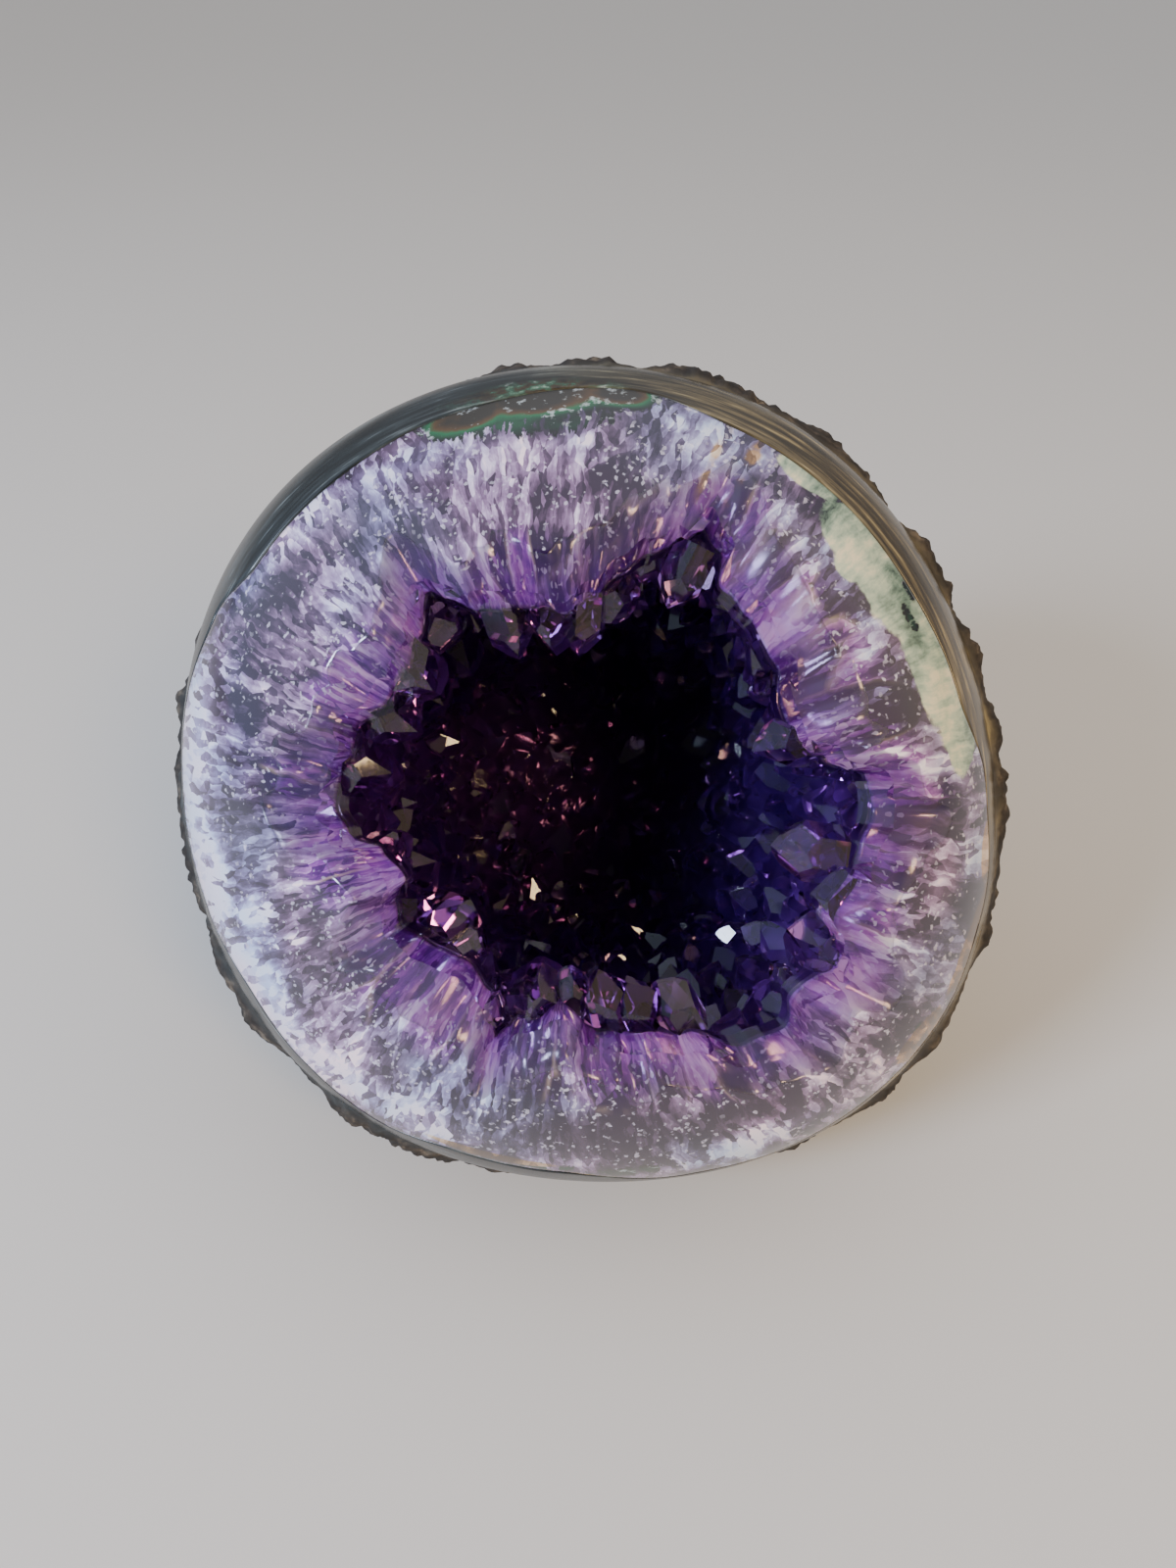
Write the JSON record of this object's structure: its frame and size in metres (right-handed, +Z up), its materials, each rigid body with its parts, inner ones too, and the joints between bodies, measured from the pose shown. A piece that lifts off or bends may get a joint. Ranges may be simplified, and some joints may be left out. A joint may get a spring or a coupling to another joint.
{
  "type": "amethyst geode",
  "caption": "Small domed amethyst geode: a dark basalt rind round a polished band of cloudy quartz, with an open hollow lined with violet crystal points.",
  "frame": {"origin": "centre of the overall box at the flat spot that the nodule rests on", "axes": "+Z up, -Y the way that the open face looks, which also leans back by 34.5 degrees, +X to the right of a viewer who faces it and the longest extent"},
  "size_m": [0.101, 0.0871, 0.0916],
  "materials": {
    "basalt": "rough skin, polished in front",
    "banded_quartz": "polished",
    "amethyst": "crystal faces"
  },
  "bodies": {
    "root": {"basalt_rind": "basalt", "quartz_wall": "banded_quartz", "amethyst_crust": "amethyst"}
  },
  "joints": []
}
